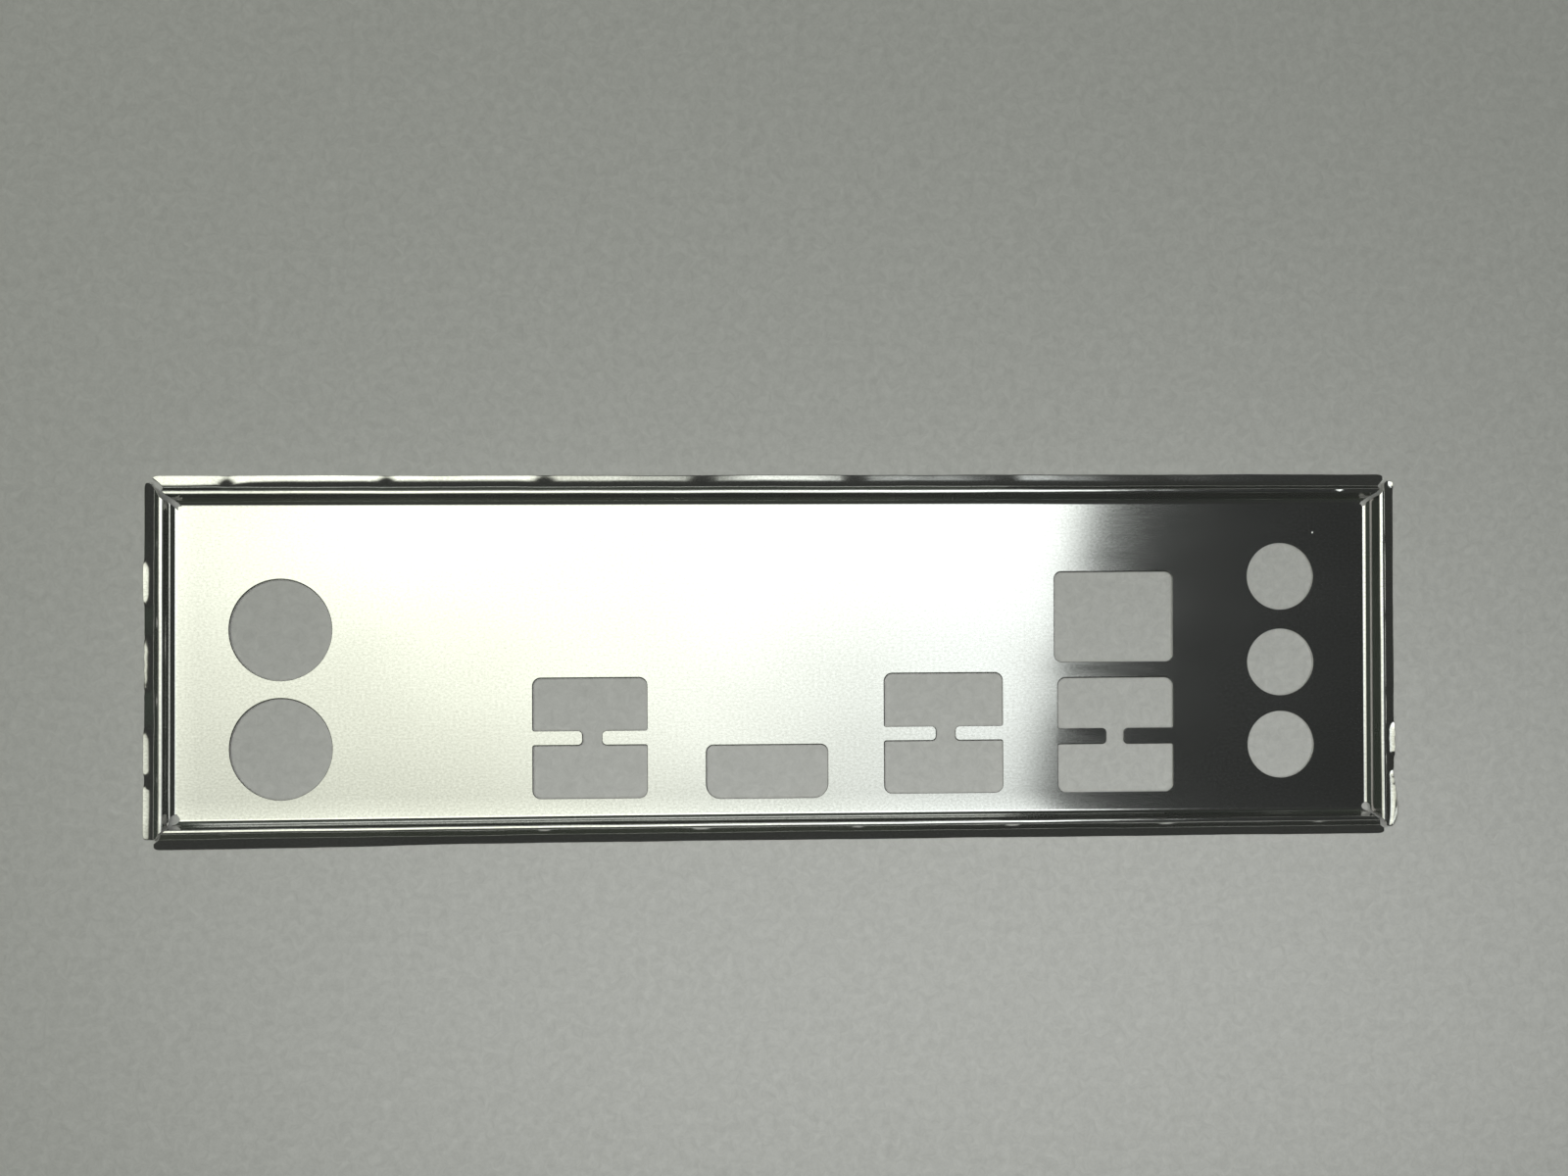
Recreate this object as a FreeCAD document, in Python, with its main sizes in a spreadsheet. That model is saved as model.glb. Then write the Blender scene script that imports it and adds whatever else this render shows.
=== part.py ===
import FreeCAD, Part
import os
import math
import Sketcher

# Motherboard I/O shield: one folded sheet, lying on its rim with the outside
# face up.  X runs along the long side, Y across it, Z up; millimetres.  The
# origin is the middle of the outline at the surface the rim rests on.
os.makedirs("parts", exist_ok=True)
doc = FreeCAD.newDocument("io_shield")
V = FreeCAD.Vector

# ---------------------------------------------------------------- dimensions
sheet = doc.addObject("Spreadsheet::Sheet", "Dims")
cells = [
    # sheet, flat panel and where it sits
    ("gauge", 0.3), ("panel_w", 153.4), ("panel_d", 40.0),
    ("panel_lift", 0.2), ("panel_x", 0.05),
    # bend radii: panel fold and lip fold on the outside face, crest inside
    ("fold_rad", 0.5), ("crest_rad", 0.25), ("lip_rad", 0.35),
    # each side of the rim: wall up, leg down, lip out (angles from level)
    ("top_wall_ang", 77.2), ("top_wall_len", 1.52),
    ("top_leg_ang", 78.0), ("top_leg_len", 1.715),
    ("top_lip_ang", 6.0), ("top_lip_len", 1.075),
    ("bot_wall_ang", 76.9), ("bot_wall_len", 1.528),
    ("bot_leg_ang", 65.0), ("bot_leg_len", 2.1209),
    ("bot_lip_ang", 6.0), ("bot_lip_len", 0.589),
    ("lef_wall_ang", 74.6), ("lef_wall_len", 1.534),
    ("lef_leg_ang", 58.5), ("lef_leg_len", 2.26),
    ("lef_lip_ang", 6.0), ("lef_lip_len", 0.924),
    ("rig_wall_ang", 59.5), ("rig_wall_len", 2.162),
    ("rig_leg_ang", 66.0), ("rig_leg_len", 2.1705),
    ("rig_lip_ang", 8.0), ("rig_lip_len", 0.497),
    # open mitred corners
    ("slit_gap", 0.65), ("lip_end_long", 79.45), ("lip_end_short", 22.4),
    ("lip_corner_rad", 0.35),
    ("relief_rad", 0.72), ("relief_out_x", 0.42), ("relief_out_y", 0.2),
    # snap dimples on the legs
    ("dimple_seat", 0.8), ("dimple_rad", 0.92), ("dimple_out", 0.3),
    ("dimple_root", 0.2), ("hollow_rad", 0.62), ("hollow_out", 0.08),
    ("hollow_root", 0.32),
    ("dimple_pitch_long", 20.1), ("dimple_pitch_short", 10.0),
    # two mini-DIN holes, three jack holes (from the middle of the panel)
    ("din_x", -63.66), ("din_up_y", 3.85), ("din_low_y", -11.39),
    ("din_rad", 6.46),
    ("jack_x", 65.92), ("jack_up_y", 10.23), ("jack_mid_y", -1.02),
    ("jack_low_y", -11.82), ("jack_rad", 4.38),
    # network socket window
    ("lan_lef", 36.08), ("lan_rig", 51.55), ("lan_bot", -0.84),
    ("lan_top", 10.87), ("lan_rad", 0.9),
    # video socket window
    ("vid_lef", -9.37), ("vid_rig", 6.3), ("vid_bot", -18.22),
    ("vid_top", -11.37), ("vid_rad", 0.9), ("vid_low_rad", 1.85),
    # three stacked-socket windows, each with two tongues left standing
    ("usa_lef", -31.65), ("usa_rig", -17.04), ("usa_bot", -18.02),
    ("usa_top", -2.56), ("usa_tip_lef", -25.27), ("usa_tip_rig", -22.85),
    ("usa_tng_bot", -11.25), ("usa_tng_top", -9.3),
    ("usb_lef", 13.75), ("usb_rig", 29.15), ("usb_bot", -17.78),
    ("usb_top", -2.24), ("usb_tip_lef", 20.52), ("usb_tip_rig", 22.94),
    ("usb_tng_bot", -11.03), ("usb_tng_top", -9.08),
    ("usc_lef", 36.5), ("usc_rig", 51.54), ("usc_bot", -17.84),
    ("usc_top", -2.96), ("usc_tip_lef", 42.9), ("usc_tip_rig", 45.03),
    ("usc_tng_bot", -11.63), ("usc_tng_top", -9.5),
    ("window_rad", 1.0), ("tongue_rad", 0.62),
]
num = dict(cells)
for row, (alias, value) in enumerate(cells, start=1):
    sheet.set("A%d" % row, alias)
    sheet.set("B%d" % row, repr(float(value)))
    sheet.setAlias("B%d" % row, alias)
doc.recompute()


def plane(body, role):
    for feat in body.Origin.OriginFeatures:
        if feat.Role == role:
            return feat
    raise RuntimeError("no plane " + role)


def sketch_on(body, role, name):
    sk = body.newObject("Sketcher::SketchObject", name)
    sk.AttachmentSupport = [(plane(body, role), "")]
    sk.MapMode = "FlatFace"
    return sk


def add(sk, *args):
    return sk.addConstraint(Sketcher.Constraint(*args))


def bind(sk, name, expr, *args):
    """A driving constraint of the sketch tied to the dimension cells."""
    i = add(sk, *args)
    sk.renameConstraint(i, name)
    sk.setExpression("Constraints." + name, expr)
    return i


def line(sk, a, b):
    return sk.addGeometry(Part.LineSegment(V(a[0], a[1], 0), V(b[0], b[1], 0)),
                          False)


def arc(sk, c, r, a0, a1):
    return sk.addGeometry(Part.ArcOfCircle(Part.Circle(V(c[0], c[1], 0),
                                                       V(0, 0, 1), r),
                                           math.radians(a0),
                                           math.radians(a1)), False)


def at_x(sk, name, expr, geo, pos, value):
    bind(sk, name, expr, "DistanceX", -1, 1, geo, pos, value)


def at_y(sk, name, expr, geo, pos, value):
    bind(sk, name, expr, "DistanceY", -1, 1, geo, pos, value)


# --------------------------------------------------------------------- panel
panel = doc.addObject("PartDesign::Body", "panel_body")


def on_panel(name):
    sk = sketch_on(panel, "XY_Plane", name)
    sk.setExpression("AttachmentOffset.Base.z", "Dims.panel_lift")
    return sk


def rounded_window(sk, key, lef, rig, bot, top, r_top, r_low):
    """A rectangle with rounded corners; cells are given by their aliases."""
    x0, x1, y0, y1 = num[lef], num[rig], num[bot], num[top]
    a, b = num[r_top], num[r_low]
    lb = line(sk, (x0 + b, y0), (x1 - b, y0))
    rb = arc(sk, (x1 - b, y0 + b), b, 270, 360)
    lr = line(sk, (x1, y0 + b), (x1, y1 - a))
    rt = arc(sk, (x1 - a, y1 - a), a, 0, 90)
    lt = line(sk, (x1 - a, y1), (x0 + a, y1))
    lt2 = arc(sk, (x0 + a, y1 - a), a, 90, 180)
    ll = line(sk, (x0, y1 - a), (x0, y0 + b))
    lb2 = arc(sk, (x0 + b, y0 + b), b, 180, 270)
    ring = [lb, rb, lr, rt, lt, lt2, ll, lb2]
    for g, h in zip(ring, ring[1:] + ring[:1]):
        add(sk, "Tangent", g, 2, h, 1)
    add(sk, "Horizontal", lb)
    add(sk, "Horizontal", lt)
    add(sk, "Vertical", lr)
    add(sk, "Vertical", ll)
    bind(sk, key + "_r1", "Dims." + r_low, "Radius", rb, b)
    bind(sk, key + "_r2", "Dims." + r_top, "Radius", rt, a)
    bind(sk, key + "_r3", "Dims." + r_top, "Radius", lt2, a)
    bind(sk, key + "_r4", "Dims." + r_low, "Radius", lb2, b)
    at_y(sk, key + "_b", "Dims." + bot, lb, 1, y0)
    at_x(sk, key + "_r", "Dims." + rig, lr, 1, x1)
    at_y(sk, key + "_t", "Dims." + top, lt, 1, y1)
    at_x(sk, key + "_l", "Dims." + lef, ll, 1, x0)


def tongue(sk, key, root, tip, bot, top):
    """A flat tongue from the window's side, with a rounded tip."""
    x0, x1, y0, y1, r = num[root], num[tip], num[bot], num[top], num["tongue_rad"]
    s = 1.0 if x1 > x0 else -1.0
    ends = [(x0, y0), (x1 - s * r, y0), (x1, y0 + r), (x1, y1 - r),
            (x1 - s * r, y1), (x0, y1)]
    low = line(sk, ends[0], ends[1])
    tipl = line(sk, ends[2], ends[3])
    up = line(sk, ends[4], ends[5])
    rootl = line(sk, ends[5], ends[0])
    if s > 0:
        c1 = arc(sk, (x1 - r, y0 + r), r, 270, 360)
        c2 = arc(sk, (x1 - r, y1 - r), r, 0, 90)
        add(sk, "Tangent", low, 2, c1, 1)
        add(sk, "Tangent", c1, 2, tipl, 1)
        add(sk, "Tangent", tipl, 2, c2, 1)
        add(sk, "Tangent", c2, 2, up, 1)
    else:
        c1 = arc(sk, (x1 + r, y0 + r), r, 180, 270)
        c2 = arc(sk, (x1 + r, y1 - r), r, 90, 180)
        add(sk, "Tangent", low, 2, c1, 2)
        add(sk, "Tangent", c1, 1, tipl, 1)
        add(sk, "Tangent", tipl, 2, c2, 2)
        add(sk, "Tangent", c2, 1, up, 1)
    add(sk, "Coincident", up, 2, rootl, 1)
    add(sk, "Coincident", rootl, 2, low, 1)
    add(sk, "Horizontal", low)
    add(sk, "Horizontal", up)
    add(sk, "Vertical", tipl)
    add(sk, "Vertical", rootl)
    bind(sk, key + "_r1", "Dims.tongue_rad", "Radius", c1, r)
    bind(sk, key + "_r2", "Dims.tongue_rad", "Radius", c2, r)
    at_x(sk, key + "_root", "Dims." + root, rootl, 1, x0)
    at_x(sk, key + "_tip", "Dims." + tip, tipl, 1, x1)
    at_y(sk, key + "_b", "Dims." + bot, low, 1, y0)
    at_y(sk, key + "_t", "Dims." + top, up, 2, y1)


def sheet_pad(body, sk, name):
    pad = body.newObject("PartDesign::Pad", name)
    pad.Profile = sk
    pad.Type = "Length"
    pad.setExpression("Length", "Dims.gauge")
    sk.Visibility = False
    return pad


def through(body, sk, name):
    cut = body.newObject("PartDesign::Pocket", name)
    cut.Profile = sk
    cut.SideType = "Symmetric"
    cut.Type = "ThroughAll"
    sk.Visibility = False
    return cut


outline = on_panel("panel_outline")
w, d = num["panel_w"] / 2, num["panel_d"] / 2
e1 = line(outline, (-w, -d), (w, -d))
e2 = line(outline, (w, -d), (w, d))
e3 = line(outline, (w, d), (-w, d))
e4 = line(outline, (-w, d), (-w, -d))
for g, h in ((e1, e2), (e2, e3), (e3, e4), (e4, e1)):
    add(outline, "Coincident", g, 2, h, 1)
add(outline, "Horizontal", e1)
add(outline, "Horizontal", e3)
add(outline, "Vertical", e2)
add(outline, "Vertical", e4)
bind(outline, "wide", "Dims.panel_w", "DistanceX", e1, 1, e1, 2, 2 * w)
bind(outline, "deep", "Dims.panel_d", "DistanceY", e2, 1, e2, 2, 2 * d)
at_x(outline, "left_edge", "-Dims.panel_w / 2", e1, 1, -w)
at_y(outline, "low_edge", "-Dims.panel_d / 2", e1, 1, -d)
panel_pad = sheet_pad(panel, outline, "panel_sheet")
doc.recompute()

rounds = on_panel("round_holes")
for key, cx, cy, cr in (("din_up", "din_x", "din_up_y", "din_rad"),
                        ("din_low", "din_x", "din_low_y", "din_rad"),
                        ("jack_up", "jack_x", "jack_up_y", "jack_rad"),
                        ("jack_mid", "jack_x", "jack_mid_y", "jack_rad"),
                        ("jack_low", "jack_x", "jack_low_y", "jack_rad")):
    g = rounds.addGeometry(Part.Circle(V(num[cx], num[cy], 0), V(0, 0, 1),
                                       num[cr]), False)
    bind(rounds, key + "_r", "Dims." + cr, "Radius", g, num[cr])
    at_x(rounds, key + "_x", "Dims." + cx, g, 3, num[cx])
    at_y(rounds, key + "_y", "Dims." + cy, g, 3, num[cy])
round_cut = through(panel, rounds, "round_holes_cut")
doc.recompute()

windows = on_panel("windows")
rounded_window(windows, "lan", "lan_lef", "lan_rig", "lan_bot", "lan_top",
               "lan_rad", "lan_rad")
rounded_window(windows, "vid", "vid_lef", "vid_rig", "vid_bot", "vid_top",
               "vid_rad", "vid_low_rad")
for key in ("usa", "usb", "usc"):
    rounded_window(windows, key, key + "_lef", key + "_rig", key + "_bot",
                   key + "_top", "window_rad", "window_rad")
window_cut = through(panel, windows, "windows_cut")
doc.recompute()

tongues = on_panel("tongues")
for key in ("usa", "usb", "usc"):
    tongue(tongues, key + "_a", key + "_lef", key + "_tip_lef",
           key + "_tng_bot", key + "_tng_top")
    tongue(tongues, key + "_b", key + "_rig", key + "_tip_rig",
           key + "_tng_bot", key + "_tng_top")
tongue_pad = sheet_pad(panel, tongues, "tongues_left_standing")
doc.recompute()
panel.setExpression("Placement.Base.x", "Dims.panel_x")


# ------------------------------------------------------------------- the rim
def sn(a):
    return math.sin(math.radians(a))


def cs(a):
    return math.cos(math.radians(a))


def rim_side(side, turn, across, along, lip_end, count, pitch):
    """One side of the rim, drawn with its outside towards +Y and then turned.

    across and along are the panel sizes across and along this side.
    """
    body = doc.addObject("PartDesign::Body", "rim_" + side)
    key = side[:3]
    t, r1, r2, r3 = (num["gauge"], num["fold_rad"], num["crest_rad"],
                     num["lip_rad"])
    wa, wl = num[key + "_wall_ang"], num[key + "_wall_len"]
    ga, gl = num[key + "_leg_ang"], num[key + "_leg_len"]
    la, ll = num[key + "_lip_ang"], num[key + "_lip_len"]
    edge, half = num[across] / 2, num[along] / 2
    top = num["panel_lift"] + t
    big = r2 + t

    # the section: fold up, crest over, lip out, at one thickness throughout
    sk = sketch_on(body, "YZ_Plane", side + "_section")
    c1 = (edge, top + r1)
    p1 = (edge + r1 * sn(wa), top + r1 - r1 * cs(wa))
    p2 = (p1[0] + wl * cs(wa), p1[1] + wl * sn(wa))
    c2 = (p2[0] + big * sn(wa), p2[1] - big * cs(wa))
    p3 = (c2[0] + big * sn(ga), c2[1] + big * cs(ga))
    p4 = (p3[0] + gl * cs(ga), p3[1] - gl * sn(ga))
    c3 = (p4[0] + r3 * sn(ga), p4[1] + r3 * cs(ga))
    p5 = (c3[0] - r3 * sn(la), c3[1] - r3 * cs(la))
    p6 = (p5[0] + ll * cs(la), p5[1] - ll * sn(la))

    def under(p, a, s):
        return (p[0] + s * t * sn(a), p[1] - t * cs(a))

    q1, q2 = under(p1, wa, 1), under(p2, wa, 1)
    q3, q4 = under(p3, ga, -1), under(p4, ga, -1)
    q5, q6 = under(p5, la, -1), under(p6, la, -1)
    a1 = arc(sk, c1, r1, -90, -90 + wa)
    t2 = line(sk, p1, p2)
    a2 = arc(sk, c2, big, 90 - ga, 90 + wa)
    t3 = line(sk, p3, p4)
    a3 = arc(sk, c3, r3, -90 - ga, -90 - la)
    t4 = line(sk, p5, p6)
    cap = line(sk, p6, q6)
    b4 = line(sk, q6, q5)
    k3 = arc(sk, c3, r3 + t, -90 - ga, -90 - la)
    b3 = line(sk, q4, q3)
    k2 = arc(sk, c2, r2, 90 - ga, 90 + wa)
    b2 = line(sk, q2, q1)
    k1 = arc(sk, c1, r1 + t, -90, -90 + wa)
    root = line(sk, (edge, top - t), (edge, top))
    for g, i, h, j in ((a1, 2, t2, 1), (t2, 2, a2, 2), (a2, 1, t3, 1),
                       (t3, 2, a3, 1), (a3, 2, t4, 1), (b4, 2, k3, 2),
                       (k3, 1, b3, 1), (b3, 2, k2, 1), (k2, 2, b2, 1),
                       (b2, 2, k1, 2)):
        add(sk, "Tangent", g, i, h, j)
    for g, i, h, j in ((t4, 2, cap, 1), (cap, 2, b4, 1), (k1, 1, root, 1),
                       (root, 2, a1, 1), (a1, 3, k1, 3), (a2, 3, k2, 3),
                       (a3, 3, k3, 3)):
        add(sk, "Coincident", g, i, h, j)
    add(sk, "Vertical", root)
    add(sk, "Vertical", a1, 3, a1, 1)
    add(sk, "Perpendicular", cap, t4)
    add(sk, "Parallel", b4, t4)
    bind(sk, "fold_in", "Dims.fold_rad", "Radius", a1, r1)
    bind(sk, "fold_out", "Dims.fold_rad + Dims.gauge", "Radius", k1, r1 + t)
    bind(sk, "crest_out", "Dims.crest_rad + Dims.gauge", "Radius", a2, big)
    bind(sk, "crest_in", "Dims.crest_rad", "Radius", k2, r2)
    bind(sk, "lip_in", "Dims.lip_rad", "Radius", a3, r3)
    bind(sk, "lip_out", "Dims.lip_rad + Dims.gauge", "Radius", k3, r3 + t)
    bind(sk, "wall_len", "Dims.%s_wall_len" % key, "Distance", t2, wl)
    bind(sk, "leg_len", "Dims.%s_leg_len" % key, "Distance", t3, gl)
    bind(sk, "lip_len", "Dims.%s_lip_len" % key, "Distance", t4, ll)
    bind(sk, "wall_ang", "Dims.%s_wall_ang * 1 deg" % key, "Angle", t2,
         math.radians(wa))
    bind(sk, "leg_ang", "-Dims.%s_leg_ang * 1 deg" % key, "Angle", t3,
         math.radians(-ga))
    bind(sk, "lip_ang", "-Dims.%s_lip_ang * 1 deg" % key, "Angle", t4,
         math.radians(-la))
    at_x(sk, "edge", "Dims.%s / 2" % across, root, 2, edge)
    at_y(sk, "level", "Dims.panel_lift + Dims.gauge", root, 2, top)
    pad = body.newObject("PartDesign::Pad", side + "_strip")
    pad.Profile = sk
    pad.Type = "Length"
    pad.SideType = "Symmetric"
    pad.setExpression("Length", "Dims.%s + 12" % along)
    sk.Visibility = False
    doc.recompute()

    # mitred ends, with the lip cut off square
    mk = sketch_on(body, "XY_Plane", side + "_mitres")
    gap = num["slit_gap"] * 0.7071
    end = num[lip_end]
    for tag, s in (("a", 1.0), ("b", -1.0)):
        pts = [(s * (half - 1 - gap), edge - 1),
               (s * end, edge + end - half + gap),
               (s * end, edge + 8), (s * (half + 12), edge + 8),
               (s * (half + 12), edge - 1)]
        gs = [line(mk, pts[i], pts[(i + 1) % 5]) for i in range(5)]
        for i in range(5):
            add(mk, "Coincident", gs[i], 2, gs[(i + 1) % 5], 1)
        add(mk, "Vertical", gs[1])
        add(mk, "Horizontal", gs[2])
        add(mk, "Vertical", gs[3])
        add(mk, "Horizontal", gs[4])
        add(mk, "Angle", gs[0], math.radians(45 if s > 0 else 135))
        sign = "" if s > 0 else "-"
        at_x(mk, tag + "_in",
             "%s(Dims.%s / 2 - 1 - Dims.slit_gap * 0.7071)" % (sign, along),
             gs[0], 1, pts[0][0])
        at_y(mk, tag + "_low", "Dims.%s / 2 - 1" % across, gs[0], 1, pts[0][1])
        at_x(mk, tag + "_end", "%sDims.%s" % (sign, lip_end), gs[1], 1,
             pts[1][0])
        at_y(mk, tag + "_high", "Dims.%s / 2 + 8" % across, gs[2], 1,
             pts[2][1])
        at_x(mk, tag + "_far", "%s(Dims.%s / 2 + 12)" % (sign, along), gs[3],
             1, pts[3][0])
    through(body, mk, side + "_mitre_cut")
    doc.recompute()

    # rounded outer corners of the lip
    tip = body.Tip
    names = []
    for i, e in enumerate(tip.Shape.Edges, start=1):
        mid = e.CenterOfMass
        if abs(e.Length - t) < 0.02 and abs(abs(mid.x) - end) < 0.05 \
                and mid.y > p6[0] - 0.1:
            names.append("Edge%d" % i)
    if len(names) != 2:
        raise RuntimeError("lip corners of %s: %d" % (side, len(names)))
    soft = body.newObject("PartDesign::Fillet", side + "_lip_corners")
    soft.Base = (tip, names)
    soft.setExpression("Radius", "Dims.lip_corner_rad")
    doc.recompute()

    # snap dimples: a round bump out of the leg, hollow behind
    fx = ("Dims.{a} / 2 + (Dims.fold_rad + Dims.crest_rad + Dims.gauge)"
          " * sin(Dims.{k}_wall_ang) + Dims.{k}_wall_len"
          " * cos(Dims.{k}_wall_ang) + (Dims.crest_rad + Dims.gauge - {depth})"
          " * sin(Dims.{k}_leg_ang) + Dims.dimple_seat"
          " * cos(Dims.{k}_leg_ang)")
    fz = ("Dims.panel_lift + Dims.gauge + (Dims.fold_rad + Dims.crest_rad"
          " + Dims.gauge) * (1 - cos(Dims.{k}_wall_ang)) + Dims.{k}_wall_len"
          " * sin(Dims.{k}_wall_ang) - Dims.crest_rad - Dims.gauge"
          " + (Dims.crest_rad + Dims.gauge - {depth})"
          " * cos(Dims.{k}_leg_ang) - Dims.dimple_seat"
          " * sin(Dims.{k}_leg_ang)")
    seat = num["dimple_seat"]
    qx, qz = p3[0] + seat * cs(ga), p3[1] - seat * sn(ga)
    first = -(count - 1) / 2.0
    done = []
    for kind, rad, out, depth, make in (
            ("bump", "dimple_rad", "dimple_out", "dimple_root",
             "PartDesign::Revolution"),
            ("hollow", "hollow_rad", "hollow_out", "hollow_root",
             "PartDesign::Groove")):
        dk = sketch_on(body, "YZ_Plane", "%s_%s" % (side, kind))
        dk.setExpression("AttachmentOffset.Base.z",
                         "%r * Dims.%s" % (first, pitch))
        rb, ho, de = num[rad], num[out], num[depth]
        A = (qx - de * sn(ga), qz - de * cs(ga))
        C = (qx + ho * sn(ga), qz + ho * cs(ga))
        B = (A[0] + rb * cs(ga), A[1] - rb * sn(ga))
        sag = ho + de
        R = (rb * rb + sag * sag) / (2 * sag)
        O = (C[0] - R * sn(ga), C[1] - R * cs(ga))
        b0 = math.degrees(math.atan2(B[1] - O[1], B[0] - O[0]))
        base = line(dk, A, B)
        dome = arc(dk, O, R, b0, 90 - ga)
        axis = line(dk, C, A)
        ref = line(dk, A, C)
        dk.toggleConstruction(ref)
        add(dk, "Coincident", base, 2, dome, 1)
        add(dk, "Coincident", dome, 2, axis, 1)
        add(dk, "Coincident", axis, 2, base, 1)
        add(dk, "PointOnObject", dome, 3, axis)
        add(dk, "Perpendicular", base, axis)
        add(dk, "Coincident", ref, 1, axis, 2)
        add(dk, "Coincident", ref, 2, axis, 1)
        bind(dk, "slope", "-Dims.%s_leg_ang * 1 deg" % key, "Angle", base,
             math.radians(-ga))
        bind(dk, "reach", "Dims." + rad, "Distance", base, rb)
        bind(dk, "height", "Dims.%s + Dims.%s" % (out, depth), "Distance",
             axis, sag)
        at_x(dk, "seat_x", fx.format(a=across, k=key, depth="Dims." + depth),
             base, 1, A[0])
        at_y(dk, "seat_z", fz.format(k=key, depth="Dims." + depth), base, 1,
             A[1])
        doc.recompute()
        turned = body.newObject(make, "%s_%s_one" % (side, kind))
        turned.Profile = dk
        turned.ReferenceAxis = (dk, ["Axis0"])
        turned.Angle = 360.0
        dk.Visibility = False
        doc.recompute()
        done.append(turned)
    rowof = body.newObject("PartDesign::LinearPattern", side + "_dimples")
    rowof.Originals = done
    rowof.Direction = (done[0].Profile[0], ["N_Axis"])
    rowof.setExpression("Length", "%d * Dims.%s" % (count - 1, pitch))
    rowof.Occurrences = count
    body.Tip = rowof
    doc.recompute()
    body.Placement = FreeCAD.Placement(V(num["panel_x"], 0, 0),
                                       FreeCAD.Rotation(V(0, 0, 1), turn))
    body.setExpression("Placement.Base.x", "Dims.panel_x")
    doc.recompute()
    return body


sides = [
    rim_side("top", 0, "panel_d", "panel_w", "lip_end_long", 8,
             "dimple_pitch_long"),
    rim_side("bottom", 180, "panel_d", "panel_w", "lip_end_long", 8,
             "dimple_pitch_long"),
    rim_side("left", 90, "panel_w", "panel_d", "lip_end_short", 4,
             "dimple_pitch_short"),
    rim_side("right", -90, "panel_w", "panel_d", "lip_end_short", 4,
             "dimple_pitch_short"),
]

# ------------------------------------------- one sheet, relieved at the corners
joined = doc.addObject("Part::MultiFuse", "folded_sheet")
joined.Shapes = [panel] + sides
joined.Refine = True
doc.recompute()

drills = []
for name, sx, sy in (("relief_a", -1, 1), ("relief_b", 1, 1),
                     ("relief_c", 1, -1), ("relief_d", -1, -1)):
    drill = doc.addObject("Part::Cylinder", name)
    drill.setExpression("Radius", "Dims.relief_rad")
    drill.Height = 8
    drill.setExpression("Placement.Base.x", "Dims.panel_x + %d * (Dims.panel_w"
                        " / 2 + Dims.relief_out_x)" % sx)
    drill.setExpression("Placement.Base.y", "%d * (Dims.panel_d / 2"
                        " + Dims.relief_out_y)" % sy)
    drill.setExpression("Placement.Base.z", "-2")
    drills.append(drill)
reliefs = doc.addObject("Part::MultiFuse", "reliefs")
reliefs.Shapes = drills
doc.recompute()
shield = doc.addObject("Part::Cut", "io_shield")
shield.Base = joined
shield.Tool = reliefs
shield.Label = "io_shield"
doc.recompute()

# ------------------------------------------------------------ checks, export
bad = [o.Name for o in doc.Objects
       if any(s in ("Invalid", "Error") for s in o.State)]
if bad:
    raise RuntimeError("not computed: " + ", ".join(bad))
for obj in [panel] + sides + [joined, shield]:
    if obj.Shape.isNull() or not obj.Shape.isValid():
        raise RuntimeError("bad shape: " + obj.Name)
if len(shield.Shape.Solids) != 1:
    raise RuntimeError("solids: %d" % len(shield.Shape.Solids))
for obj in [panel] + sides + [joined, shield]:
    print(obj.Name, "volume %.3f" % obj.Shape.Volume,
          "faces", len(obj.Shape.Faces))
box = shield.Shape.BoundBox
print("box x %.3f %.3f y %.3f %.3f z %.4f %.4f" % (
    box.XMin, box.XMax, box.YMin, box.YMax, box.ZMin, box.ZMax))
shield.Shape.exportStep("parts/io_shield.step")
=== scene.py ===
import math

import bpy
import numpy as np
from mathutils import Matrix, Vector
from mathutils.geometry import delaunay_2d_cdt


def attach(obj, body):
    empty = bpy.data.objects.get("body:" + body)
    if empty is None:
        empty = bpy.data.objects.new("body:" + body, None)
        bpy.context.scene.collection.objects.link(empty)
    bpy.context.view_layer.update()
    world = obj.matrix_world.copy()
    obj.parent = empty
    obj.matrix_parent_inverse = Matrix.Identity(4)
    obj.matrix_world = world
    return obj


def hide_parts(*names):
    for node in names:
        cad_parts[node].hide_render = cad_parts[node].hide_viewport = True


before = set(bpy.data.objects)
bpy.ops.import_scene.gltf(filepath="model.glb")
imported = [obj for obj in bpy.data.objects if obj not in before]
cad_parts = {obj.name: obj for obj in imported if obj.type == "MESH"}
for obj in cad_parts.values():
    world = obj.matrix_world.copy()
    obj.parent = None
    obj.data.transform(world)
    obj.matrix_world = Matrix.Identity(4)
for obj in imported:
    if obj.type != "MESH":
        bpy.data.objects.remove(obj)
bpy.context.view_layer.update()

# ---------------------------------------------------------------- dimensions, mm
GAUGE = 0.3
TOP = 0.5                     # height of the panel's outside face
PX = 0.05                     # panel middle, from the middle of the box
CREST_SIDE = 0.16             # outside radius at the inner shoulder of the rim's crest
ROLL = 0.02                   # where the rolled-over edge of a punched hole begins

# where the fold lines meet at each corner, from the panel middle
FOLD = {"tl": (76.49, 19.70), "tr": (76.91, 19.70), "bl": (76.70, 20.19), "br": (76.91, 20.00)}
# each corner: width of the slit, radius of the relief hole, its place outward from the fold corner
CORNER = {
    "tl": (0.70, 0.34, 0.18, 0.14), "tr": (0.46, 0.34, 0.16, 0.12),
    "bl": (0.50, 0.72, 0.40, 0.06), "br": (0.36, 0.52, 0.28, 0.06),
}


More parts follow.
